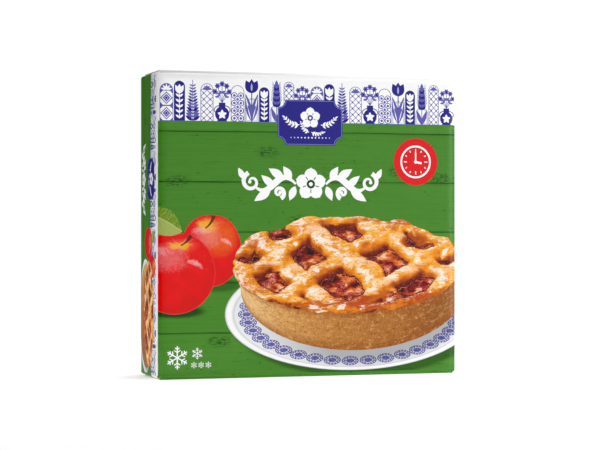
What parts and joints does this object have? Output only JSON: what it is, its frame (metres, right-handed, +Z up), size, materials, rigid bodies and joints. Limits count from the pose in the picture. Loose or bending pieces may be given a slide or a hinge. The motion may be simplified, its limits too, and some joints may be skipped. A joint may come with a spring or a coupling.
{
  "type": "frozen pie carton",
  "caption": "Shut printed folding carton for a frozen fruit pie, wide and flat, standing on its narrow bottom end.",
  "frame": {"origin": "middle of the underside, where the carton stands", "axes": "+X across the front panel, +Y from the front panel to the back panel, +Z up"},
  "size_m": [0.24, 0.054, 0.23],
  "materials": {
    "printed_board": "printed and varnished, with a soft gloss"
  },
  "bodies": {
    "root": {"carton": "printed_board"}
  },
  "joints": []
}
